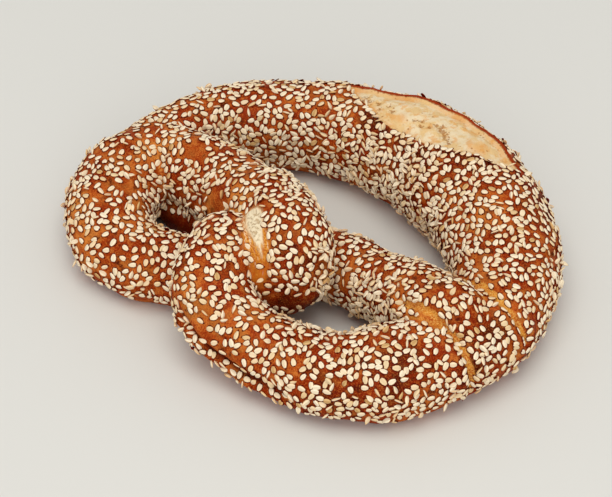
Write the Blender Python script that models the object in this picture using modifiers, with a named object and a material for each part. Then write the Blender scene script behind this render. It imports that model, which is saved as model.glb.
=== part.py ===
# Sesame pretzel: one rope of dough with a thick belly and two thinner arms. The arms turn back in
# two loops, twist round each other once and are pressed onto the ring beside the belly.
# Sizes are in millimetres. The pretzel lies on z = 0 with its belly towards +Y, and the origin is
# at the middle of the underside.

import math
import random

import bmesh
import bpy
from mathutils import Matrix, Vector

MM = 0.001

# The belly and the sides of the ring follow an ellipse seen from above.
RING_CENTRE = (-1.2, -5.0)
RING_HALF_SIZE = (72.8, 55.3)
RING_TURN_DEG = 2.0
RING_START_DEG = 185.0
RING_END_DEG = -20.0
RING_STATIONS = 11

# The rope's radius along the ring swells to the belly, which tapers faster on the left.
SIDE_RADIUS = 15.3
BELLY_SWELL = 6.0
BELLY_PEAK_DEG = 74.0
TAPER_LEFT_DEG = 43.0
TAPER_RIGHT_DEG = 51.0

# The arms, as x, y, lift above its resting height, and radius. The left arm runs from its tip to
# the ring's start, the right arm from the ring's end to its tip.
LEFT_ARM = (
    (-73.0, -17.4, 8.0, 11.5),
    (-58.2, -13.9, 7.0, 13.5),
    (-38.1, -13.6, 7.0, 14.3),
    (-11.5, -19.0, 14.0, 15.0),
    (7.5, -26.7, 16.5, 15.0),
    (8.5, -30.6, 8.0, 13.5),
    (-7.5, -41.1, 0.0, 12.5),
    (-29.4, -51.3, 0.0, 13.0),
    (-46.4, -56.1, 0.0, 13.8),
    (-62.0, -48.6, 0.0, 15.6),
    (-70.8, -31.9, 0.0, 16.6),
)
RIGHT_ARM = (
    (62.0, -35.8, 0.0, 15.8),
    (51.6, -47.2, 0.0, 14.2),
    (36.4, -53.0, 0.0, 13.5),
    (19.6, -56.6, 2.0, 13.0),
    (5.4, -58.3, 7.0, 13.0),
    (-4.1, -52.3, 13.0, 13.5),
    (-8.4, -40.7, 15.0, 13.0),
    (-7.2, -24.3, 8.0, 12.0),
    (3.8, -13.3, 1.0, 12.0),
    (17.5, -7.4, 0.0, 12.5),
    (34.2, -6.3, 2.0, 13.0),
    (53.2, -8.0, 8.5, 13.2),
    (66.0, -8.8, 10.5, 13.0),
    (73.5, -8.8, 4.5, 12.8),
)

# A resting rope's centre stands this share of its radius above the table, so it has a flat foot.
SIT_SHARE = 0.78
POINTS_PER_STATION = 6
TIP_STEPS = 5
TIP_ANGLE_DEG = 84.0
ROPE_SIDE_STEPS = 6
WELD_DISTANCE = 0.01

# The ropes are fused in a grid of small cells, smoothed, and thinned to few faces.
FUSE_CELL = 1.5
FUSE_SMOOTHING = 3
BODY_TRIANGLES = 4000

# The knife cut along the top of the belly opened as a lens, seen from above. The crumb in it
# follows the belly and lies below the crust, which stands round it as a low wall.
CUT_CENTRE = (1.5, 50.4)
CUT_HALF_LENGTH = 39.0
CUT_HALF_WIDTH = 10.6
CUT_TURN_DEG = 3.0
CUT_STEPS = 12
CUT_FLOOR = 20.0
CUT_CEILING = 44.0
CRUST_DEPTH = 1.7
CRUMB_STATIONS = (2, 9)
CRUMB_SIDE_STEPS = 8

# A fold runs along the outer side of the right loop, where the rope is widest. It lies between
# these two x, on the rope's stretch that is in front of this y.
FOLD_FROM_X = 0.0
FOLD_TO_X = 52.0
FOLD_FRONT_OF_Y = -48.0
FOLD_RADIUS = 1.5
FOLD_SIDE_STEPS = 1

# The crumb and the fold need only every second point of the rope.
COARSE_STRIDE = 2

# Sesame seeds. Each is a flattened ball that narrows from its blunt end by the taper, as a share
# of its length, and has its full width where the taper starts.
SEED_LENGTH = 3.2
SEED_WIDTH = 2.0
SEED_THICKNESS = 1.2
SEED_TAPER = 0.55
SEED_TAPER_START = -0.1
SEED_SIDES = 5
SEED_RINGS = 3
SEED_SINK = 0.1
SEED_SPACING = 10.7
SEED_TRIES = 9000
SEED_LOWEST = 5.0
SEED_DOWN_LIMIT = -0.45
SEED_CUT_MARGIN = 1.7
RANDOM_SEED = 7

SLAB_WIDTH = 300.0
SLAB_HEIGHT = 40.0
SHARP_EDGE_DEG = 35.0
CRUST_BROWN = (0.42, 0.13, 0.035, 1.0)
CRUST_ROUGHNESS = 0.45


def clear_scene():
    for obj in list(bpy.data.objects):
        bpy.data.objects.remove(obj, do_unlink=True)


def new_collection(name):
    collection = bpy.data.collections.new(name)
    bpy.context.scene.collection.children.link(collection)
    return collection


def add_mesh(name, mesh, collection):
    obj = bpy.data.objects.new(name, mesh)
    collection.objects.link(obj)
    return obj


def ring_radius(angle_deg):
    """Rope radius on the ring at this angle, widest at the belly's peak."""
    away = angle_deg - BELLY_PEAK_DEG
    taper = TAPER_LEFT_DEG if away > 0 else TAPER_RIGHT_DEG
    return SIDE_RADIUS + BELLY_SWELL * math.exp(-((away / taper) ** 2))


def ring_stations():
    stations = []
    turn = Matrix.Rotation(math.radians(RING_TURN_DEG), 2)
    for i in range(RING_STATIONS):
        share = i / (RING_STATIONS - 1)
        angle_deg = RING_START_DEG + share * (RING_END_DEG - RING_START_DEG)
        angle = math.radians(angle_deg)
        across, along = RING_HALF_SIZE
        place = Vector(RING_CENTRE) + turn @ Vector((across * math.cos(angle), along * math.sin(angle)))
        stations.append((*place, 0.0, ring_radius(angle_deg)))
    return stations


def as_row(station):
    """Centre and radius of the rope at this station, as a Vector of four numbers."""
    x, y, lift, radius = station
    return Vector((x, y, SIT_SHARE * radius + lift, radius))


def smooth_through(rows):
    """Catmull-Rom curve through the rows."""
    padded = [2 * rows[0] - rows[1], *rows, 2 * rows[-1] - rows[-2]]
    points = []
    for p0, p1, p2, p3 in zip(padded, padded[1:], padded[2:], padded[3:]):
        speed = p2 - p0
        bend = 2 * p0 - 5 * p1 + 4 * p2 - p3
        swing = 3 * p1 - p0 - 3 * p2 + p3
        for k in range(POINTS_PER_STATION):
            t = k / POINTS_PER_STATION
            points.append(p1 + 0.5 * (speed * t + bend * t**2 + swing * t**3))
    return [*points, rows[-1]]


def round_tip(last, before):
    """Points past the last one that close the rope in a half sphere."""
    along = (last.xyz - before.xyz).normalized()
    radius = last.w
    points = []
    for k in range(1, TIP_STEPS + 1):
        angle = math.radians(TIP_ANGLE_DEG) * k / TIP_STEPS
        place = last.xyz + along * radius * math.sin(angle)
        points.append(Vector((*place, radius * math.cos(angle))))
    return points


def rope_points():
    """The whole rope's centreline with its radius, tip to tip."""
    points = smooth_through([as_row(s) for s in (*LEFT_ARM, *ring_stations(), *RIGHT_ARM)])
    start = round_tip(points[0], points[1])[::-1]
    return [*start, *points, *round_tip(points[-1], points[-2])]


def evaluated_mesh(obj):
    """The object's mesh with its modifiers done, or the mesh of a curve."""
    graph = bpy.context.evaluated_depsgraph_get()
    return bpy.data.meshes.new_from_object(obj.evaluated_get(graph))


def tube(name, points, side_steps, collection):
    """A closed tube through the points, whose last number is the radius there."""
    curve = bpy.data.curves.new(name, "CURVE")
    curve.dimensions = "3D"
    curve.bevel_depth = MM
    curve.bevel_resolution = side_steps
    curve.use_fill_caps = True
    spline = curve.splines.new("POLY")
    spline.points.add(len(points) - 1)
    for target, point in zip(spline.points, points):
        target.co = (*(point.xyz * MM), 1.0)
        target.radius = point.w
    return welded_mesh(name, curve, collection)


def welded_mesh(name, curve, collection):
    """Makes a mesh object of the curve, with its caps welded on."""
    guide = bpy.data.objects.new("guide", curve)
    collection.objects.link(guide)
    obj = add_mesh(name, evaluated_mesh(guide), collection)
    bpy.data.objects.remove(guide)
    work = bmesh.new()
    work.from_mesh(obj.data)
    bmesh.ops.remove_doubles(work, verts=work.verts, dist=WELD_DISTANCE * MM)
    bmesh.ops.recalc_face_normals(work, faces=work.faces)
    work.to_mesh(obj.data)
    work.free()
    return obj


def bake_modifiers(obj):
    old = obj.data
    obj.data = evaluated_mesh(obj)
    obj.modifiers.clear()
    bpy.data.meshes.remove(old)


def make_fused_rope(collection):
    """The rope, joined with itself where it crosses and touches, as dough does in the oven."""
    body = tube("pretzel", rope_points(), ROPE_SIDE_STEPS, collection)
    fuse = body.modifiers.new("fuse", "REMESH")
    fuse.mode = "VOXEL"
    fuse.voxel_size = FUSE_CELL * MM
    soften = body.modifiers.new("soften", "SMOOTH")
    soften.iterations = FUSE_SMOOTHING
    bake_modifiers(body)
    thin = body.modifiers.new("thin", "DECIMATE")
    thin.ratio = BODY_TRIANGLES / sum(len(face.vertices) - 2 for face in body.data.polygons)
    bake_modifiers(body)
    return body


def boolean(body, operation, other):
    modifier = body.modifiers.new(other.name, "BOOLEAN")
    modifier.operation = operation
    modifier.object = other


def as_cutter(obj):
    obj.hide_render = True
    obj.display_type = "WIRE"
    return obj


def make_table_cutter(collection):
    """A slab under z = 0, which leaves the flat baked foot."""
    bpy.ops.mesh.primitive_cube_add(size=1)
    slab = bpy.context.object
    slab.name = "table_cutter"
    slab.data.transform(Matrix.Diagonal((SLAB_WIDTH * MM, SLAB_WIDTH * MM, SLAB_HEIGHT * MM, 1)))
    slab.location.z = -SLAB_HEIGHT / 2 * MM
    for old in list(slab.users_collection):
        old.objects.unlink(slab)
    collection.objects.link(slab)
    return as_cutter(slab)


def cut_outline():
    """The opened cut seen from above: two bows that meet in points."""
    side = [2 * i / CUT_STEPS - 1 for i in range(CUT_STEPS)]
    bow = [Vector((s * CUT_HALF_LENGTH, CUT_HALF_WIDTH * (1 - s * s))) for s in side]
    turn = Matrix.Rotation(math.radians(CUT_TURN_DEG), 2)
    return [Vector(CUT_CENTRE) + turn @ p for p in (*bow, *(-p for p in bow))]


def make_belly_cutter(collection):
    """An upright prism on the opened cut's outline."""
    curve = bpy.data.curves.new("belly_cutter", "CURVE")
    curve.dimensions = "2D"
    curve.fill_mode = "BOTH"
    curve.extrude = (CUT_CEILING - CUT_FLOOR) / 2 * MM
    spline = curve.splines.new("POLY")
    spline.use_cyclic_u = True
    outline = cut_outline()
    spline.points.add(len(outline) - 1)
    for target, point in zip(spline.points, outline):
        target.co = (*(point * MM), 0.0, 1.0)
    cutter = welded_mesh("belly_cutter", curve, collection)
    cutter.location.z = (CUT_CEILING + CUT_FLOOR) / 2 * MM
    return as_cutter(cutter)


def make_crumb(collection):
    """The inside of the belly, which shows through the opened cut."""
    first, last = CRUMB_STATIONS
    inset = Vector((0, 0, 0, CRUST_DEPTH))
    points = [p - inset for p in smooth_through([as_row(s) for s in ring_stations()[first:last]])]
    return as_cutter(tube("crumb", points[::COARSE_STRIDE], CRUMB_SIDE_STEPS, collection))


def make_fold_cutter(collection):
    """A thin tube half sunk in the outer side of the right loop."""
    points = smooth_through([as_row(s) for s in RIGHT_ARM])
    inside = [p for p in points if FOLD_FROM_X < p.x < FOLD_TO_X and p.y < FOLD_FRONT_OF_Y]
    route = []
    for before, here, after in zip(inside, inside[1:], inside[2:]):
        along = (before.xy - after.xy).normalized()
        outward = Vector((along.y, -along.x)) * here.w
        route.append(Vector((here.x + outward.x, here.y + outward.y, here.z, FOLD_RADIUS)))
    return as_cutter(tube("fold_cutter", route[::COARSE_STRIDE], FOLD_SIDE_STEPS, collection))


def in_belly_cut(point):
    """True near or inside the opened cut, seen from above."""
    turn = Matrix.Rotation(-math.radians(CUT_TURN_DEG), 2)
    flat = turn @ (point.xy / MM - Vector(CUT_CENTRE))
    bow = CUT_HALF_WIDTH * (1 - (flat.x / (CUT_HALF_LENGTH + SEED_CUT_MARGIN)) ** 2)
    return point.z > CUT_FLOOR * MM and abs(flat.y) < bow + SEED_CUT_MARGIN


def seed_places(body):
    """Spread places on the crust with their normals, no two closer than the spacing."""
    rng = random.Random(RANDOM_SEED)
    mesh = body.data
    mesh.calc_loop_triangles()
    triangles = list(mesh.loop_triangles)
    picks = rng.choices(triangles, [t.area for t in triangles], k=SEED_TRIES)
    places = []
    for triangle in picks:
        a, b, c = (mesh.vertices[i].co for i in triangle.vertices)
        u, v = rng.random(), rng.random()
        if u + v > 1:
            u, v = 1 - u, 1 - v
        point = a + (b - a) * u + (c - a) * v
        low = point.z < SEED_LOWEST * MM or triangle.normal.z < SEED_DOWN_LIMIT
        if low or in_belly_cut(point):
            continue
        if all((point - other).length > SEED_SPACING * MM for other, _ in places):
            places.append((point, triangle.normal.copy()))
    return places


def make_seed_mesh():
    """A flattened ball that narrows to one end, its length along Z."""
    bpy.ops.mesh.primitive_uv_sphere_add(segments=SEED_SIDES, ring_count=SEED_RINGS, radius=0.5)
    pattern = bpy.context.object
    mesh = pattern.data
    bpy.data.objects.remove(pattern)
    for vertex in mesh.vertices:
        narrow = 1 - SEED_TAPER * (vertex.co.z - SEED_TAPER_START)
        vertex.co.x *= narrow * SEED_WIDTH * MM
        vertex.co.y *= narrow * SEED_THICKNESS * MM
        vertex.co.z *= SEED_LENGTH * MM
    return mesh


def make_seeds(body, collection):
    """One seed at each place, turned at random in the crust's plane."""
    rng = random.Random(RANDOM_SEED + 1)
    mesh = make_seed_mesh()
    for i, (point, normal) in enumerate(seed_places(body)):
        seed = add_mesh(f"seed_{i}", mesh, collection)
        flat = normal.to_track_quat("Y", "Z").to_matrix().to_4x4()
        turn = Matrix.Rotation(rng.uniform(0, 2 * math.pi), 4, "Y")
        seed.matrix_world = Matrix.Translation(point - normal * SEED_SINK * MM) @ flat @ turn


def join_seeds(body, seeds):
    modifier = body.modifiers.new("join_seeds", "BOOLEAN")
    modifier.operation = "UNION"
    modifier.operand_type = "COLLECTION"
    modifier.collection = seeds
    bpy.context.view_layer.update()
    bake_modifiers(body)
    for seed in list(seeds.objects):
        bpy.data.objects.remove(seed)
    bpy.data.collections.remove(seeds)


def centre_over_origin(body):
    """Moves the bread so that the origin is at the middle of its box, seen from above."""
    xs = [vertex.co.x for vertex in body.data.vertices]
    ys = [vertex.co.y for vertex in body.data.vertices]
    middle = Vector((min(xs) + max(xs), min(ys) + max(ys), 0)) / 2
    body.data.transform(Matrix.Translation(-middle))


def crust_material():
    material = bpy.data.materials.new("crust")
    material.use_nodes = True
    shader = material.node_tree.nodes["Principled BSDF"]
    shader.inputs["Base Color"].default_value = CRUST_BROWN
    shader.inputs["Roughness"].default_value = CRUST_ROUGHNESS
    shader.inputs["Metallic"].default_value = 0.0
    return material


def make_body(parts, cutters):
    """The bread without its seeds: the fused rope, its foot, the opened cut and the fold."""
    body = make_fused_rope(parts)
    boolean(body, "DIFFERENCE", make_belly_cutter(cutters))
    boolean(body, "UNION", make_crumb(cutters))
    boolean(body, "DIFFERENCE", make_fold_cutter(cutters))
    boolean(body, "DIFFERENCE", make_table_cutter(cutters))
    bpy.context.view_layer.update()
    bake_modifiers(body)
    return body


def build():
    clear_scene()
    parts = new_collection("sesame_pretzel")
    cutters = new_collection("cutters")
    body = make_body(parts, cutters)
    seeds = new_collection("seeds")
    make_seeds(body, seeds)
    join_seeds(body, seeds)
    centre_over_origin(body)
    body.data.materials.clear()
    body.data.materials.append(crust_material())
    body.data.shade_smooth()
    body.data.set_sharp_from_angle(angle=math.radians(SHARP_EDGE_DEG))


build()
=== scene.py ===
import math

import bpy
import numpy as np
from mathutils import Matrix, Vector, noise


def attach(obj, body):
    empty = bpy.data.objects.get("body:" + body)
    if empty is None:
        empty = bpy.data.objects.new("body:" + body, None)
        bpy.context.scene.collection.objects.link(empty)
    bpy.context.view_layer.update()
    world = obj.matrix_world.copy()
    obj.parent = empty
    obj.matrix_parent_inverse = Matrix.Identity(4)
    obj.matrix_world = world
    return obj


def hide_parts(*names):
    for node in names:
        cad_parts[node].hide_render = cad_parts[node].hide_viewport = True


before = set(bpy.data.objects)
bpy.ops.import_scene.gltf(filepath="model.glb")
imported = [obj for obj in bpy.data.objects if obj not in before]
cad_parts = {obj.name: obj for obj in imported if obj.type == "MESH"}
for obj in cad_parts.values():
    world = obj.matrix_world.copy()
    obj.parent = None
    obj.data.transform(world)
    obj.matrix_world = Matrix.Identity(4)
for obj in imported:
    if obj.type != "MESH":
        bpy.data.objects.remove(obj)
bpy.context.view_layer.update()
mm = 0.001
farAway = -9.0  # written where a point is nowhere near a feature


def tint(red, green, blue):
    # a colour as it looks on a screen, 0 to 255, turned into the linear numbers that shaders use
    return tuple(((c / 255 + 0.055) / 1.055) ** 2.4 for c in (red, green, blue)) + (1.0,)


def addObject(name, data):
    thing = bpy.data.objects.new(name, data)
    bpy.context.scene.collection.objects.link(thing)
    return thing


def aimFrom(thing, place, aim):
    # stands a camera or lamp at its place and turns it to what it looks at
    thing.location = place
    way = np.array(aim) - np.array(place)
    thing.rotation_euler = Vector(way).to_track_quat("-Z", "Y").to_euler()


cameraPlan = {
    "place": (0.4373, -0.4480, 0.5688),
    "aim": (-0.0094, -0.0013, 0.0),
    "lens": 140.0,
    "sensor": 36.0,
    "nearest": 0.05,
    "farthest": 20.0,
}


def addCamera(plan):
    data = bpy.data.cameras.new("camera")
    data.lens = plan["lens"]
    data.sensor_width = plan["sensor"]
    data.clip_start = plan["nearest"]
    data.clip_end = plan["farthest"]
    camera = addObject("camera", data)
    aimFrom(camera, plan["place"], plan["aim"])
    bpy.context.scene.camera = camera


# Stations are x, y, lift above the resting height, and radius, in mm, as in the solid.
rope = {
    "middle": (0.695, 0.143),
    "ringCentre": (-1.2, -5.0),
    "ringHalf": (72.8, 55.3),
    "ringTurn": 2.0,
    "ringFrom": 185.0,
    "ringTo": -20.0,
    "ringStations": 11,
    "sideRadius": 15.3,
    "bellySwell": 6.0,
    "bellyPeak": 74.0,
    "taperLeft": 43.0,
    "taperRight": 51.0,
    "sitShare": 0.78,
    "pointsPerStation": 8,
    "tipSteps": 6,
    "tipTurn": 84,
    "leftArm": (
        (-73.0, -17.4, 8.0, 11.5),
        (-58.2, -13.9, 7.0, 13.5),
        (-38.1, -13.6, 7.0, 14.3),
        (-11.5, -19.0, 14.0, 15.0),
        (7.5, -26.7, 16.5, 15.0),
        (8.5, -30.6, 8.0, 13.5),
        (-7.5, -41.1, 0.0, 12.5),
        (-29.4, -51.3, 0.0, 13.0),
        (-46.4, -56.1, 0.0, 13.8),
        (-62.0, -48.6, 0.0, 15.6),
        (-70.8, -31.9, 0.0, 16.6),
    ),
    "rightArm": (
        (62.0, -35.8, 0.0, 15.8),
        (51.6, -47.2, 0.0, 14.2),
        (36.4, -53.0, 0.0, 13.5),
        (19.6, -56.6, 2.0, 13.0),
        (5.4, -58.3, 7.0, 13.0),
        (-4.1, -52.3, 13.0, 13.5),
        (-8.4, -40.7, 15.0, 13.0),
        (-7.2, -24.3, 8.0, 12.0),
        (3.8, -13.3, 1.0, 12.0),
        (17.5, -7.4, 0.0, 12.5),
        (34.2, -6.3, 2.0, 13.0),
        (53.2, -8.0, 8.5, 13.2),
        (66.0, -8.8, 10.5, 13.0),
        (73.5, -8.8, 4.5, 12.8),
    ),
}


def ringStations():
    turn = math.radians(rope["ringTurn"])
    stations = []
    for angle in np.linspace(rope["ringFrom"], rope["ringTo"], rope["ringStations"]):
        a = rope["ringHalf"][0] * math.cos(math.radians(angle))
        b = rope["ringHalf"][1] * math.sin(math.radians(angle))
        x = rope["ringCentre"][0] + a * math.cos(turn) - b * math.sin(turn)
        y = rope["ringCentre"][1] + a * math.sin(turn) + b * math.cos(turn)
        away = angle - rope["bellyPeak"]
        taper = rope["taperLeft"] if away > 0 else rope["taperRight"]
        radius = rope["sideRadius"] + rope["bellySwell"] * math.exp(-((away / taper) ** 2))
        stations.append((x, y, 0.0, radius))
    return stations


def smoothThrough(rows, steps):
    # Catmull-Rom curve through the rows
    rows = np.array(rows, float)
    rows = np.vstack([2 * rows[0] - rows[1], rows, 2 * rows[-1] - rows[-2]])
    points = []
    for p0, p1, p2, p3 in zip(rows, rows[1:], rows[2:], rows[3:]):
        for t in np.arange(steps) / steps:
            points.append(p1 + 0.5 * ((p2 - p0) * t + (2 * p0 - 5 * p1 + 4 * p2 - p3) * t * t
                                      + (3 * p1 - p0 - 3 * p2 + p3) * t ** 3))
    return np.array([*points, rows[-2]])


def roundTip(last, before):
    along = last[:3] - before[:3]
    along /= np.linalg.norm(along)
    angles = np.radians(rope["tipTurn"]) * np.arange(1, rope["tipSteps"] + 1) / rope["tipSteps"]
    return np.array([[*(last[:3] + along * last[3] * math.sin(a)), last[3] * math.cos(a)] for a in angles])


def ropePath():
    # centre and radius all along the rope, in mm, in the frame
    stations = [*rope["leftArm"], *ringStations(), *rope["rightArm"]]
    rows = [(x, y, rope["sitShare"] * r + lift, r) for x, y, lift, r in stations]
    points = smoothThrough(rows, rope["pointsPerStation"])
    path = np.vstack([roundTip(points[0], points[1])[::-1], points, roundTip(points[-1], points[-2])])
    path[:, :2] += rope["middle"]
    return path


def addTube(name, routes, sideSteps):
    # closed tubes through rows of points, whose last number is the radius there
    curve = bpy.data.curves.new(name, "CURVE")
    curve.dimensions = "3D"
    curve.bevel_depth = mm
    curve.bevel_resolution = sideSteps
    curve.use_fill_caps = True
    for route in routes:
        spline = curve.splines.new("POLY")
        spline.points.add(len(route) - 1)
        for target, row in zip(spline.points, route):
            target.co = (row[0] * mm, row[1] * mm, row[2] * mm, 1.0)
            target.radius = row[3]
    guide = addObject(name, curve)
    bpy.context.view_layer.update()
    mesh = bpy.data.meshes.new_from_object(guide.evaluated_get(bpy.context.evaluated_depsgraph_get()))
    bpy.data.objects.remove(guide)
    return mesh


def readPoints(mesh, what="co"):
    values = np.empty(len(mesh.vertices) * 3, np.float32)
    mesh.vertices.foreach_get(what, values)
    return values.reshape(-1, 3)


def writePoints(mesh, points):
    mesh.vertices.foreach_set("co", np.ascontiguousarray(points, np.float32).ravel())
    mesh.update()


def writeMask(mesh, name, values):
    layer = mesh.attributes.new(name, "FLOAT", "POINT")
    layer.data.foreach_set("value", np.ascontiguousarray(values, np.float32))


def ease(values, low, high):
    t = np.clip((values - low) / (high - low), 0, 1)
    return t * t * (3 - 2 * t)


def ridge(away, width, middle=0.0):
    # 1 along a line and 0 to both sides of it
    return np.exp(-(((away - middle) / width) ** 2))


def waves(points, size, seed, count=28):
    # smooth noise made of waves in all directions, about -1 to 1
    rng = np.random.default_rng(seed)
    ways = rng.normal(size=(count, 3))
    ways /= np.linalg.norm(ways, axis=1)[:, None]
    pace = 2 * np.pi / (size * rng.uniform(0.7, 1.6, count))
    phase = rng.uniform(0, 2 * np.pi, count)
    total = np.zeros(len(points))
    for way, p, start in zip(ways, pace, phase):
        total += np.sin(points @ way * p + start)
    return total / math.sqrt(count / 2) * 0.7


def manyWaves(points, rows, start=0.0):
    # rows of wave size, height and seed, added up
    return sum((height * waves(points, size, seed) for size, height, seed in rows), start)


def grain(points, size, shift):
    return np.array([noise.noise((p[0] / size + shift, p[1] / size, p[2] / size)) for p in points.tolist()])


def spots(points, rows):
    # 1 at the middle of any of the spots, and 0 away from them
    value = np.zeros(len(points))
    for x, y, z, reach in rows:
        value = np.maximum(value, np.exp(-((points - (x, y, z)) ** 2).sum(1) / reach ** 2))
    return value


def toLine(points, line):
    # distance to a line through places, how far along it each point is, the nearest place and the width there
    line = np.array(line, float)
    if line.shape[1] == 3:
        line = np.pad(line, ((0, 0), (0, 1)))
    away, along = np.full(len(points), 1e9), np.zeros(len(points))
    nearest = np.zeros((len(points), 4))
    done, total = 0.0, np.linalg.norm(np.diff(line[:, :3], axis=0), axis=1).sum()
    for a, b in zip(line, line[1:]):
        step = (b - a)[:3]
        length = np.linalg.norm(step)
        t = np.clip((points - a[:3]) @ step / length ** 2, 0, 1)
        place = a + t[:, None] * (b - a)
        gap = np.linalg.norm(points - place[:, :3], axis=1)
        nearer = gap < away
        away[nearer], nearest[nearer] = gap[nearer], place[nearer]
        along[nearer] = (done + t[nearer] * length) / total
        done += length
    return away, along, nearest


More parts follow.
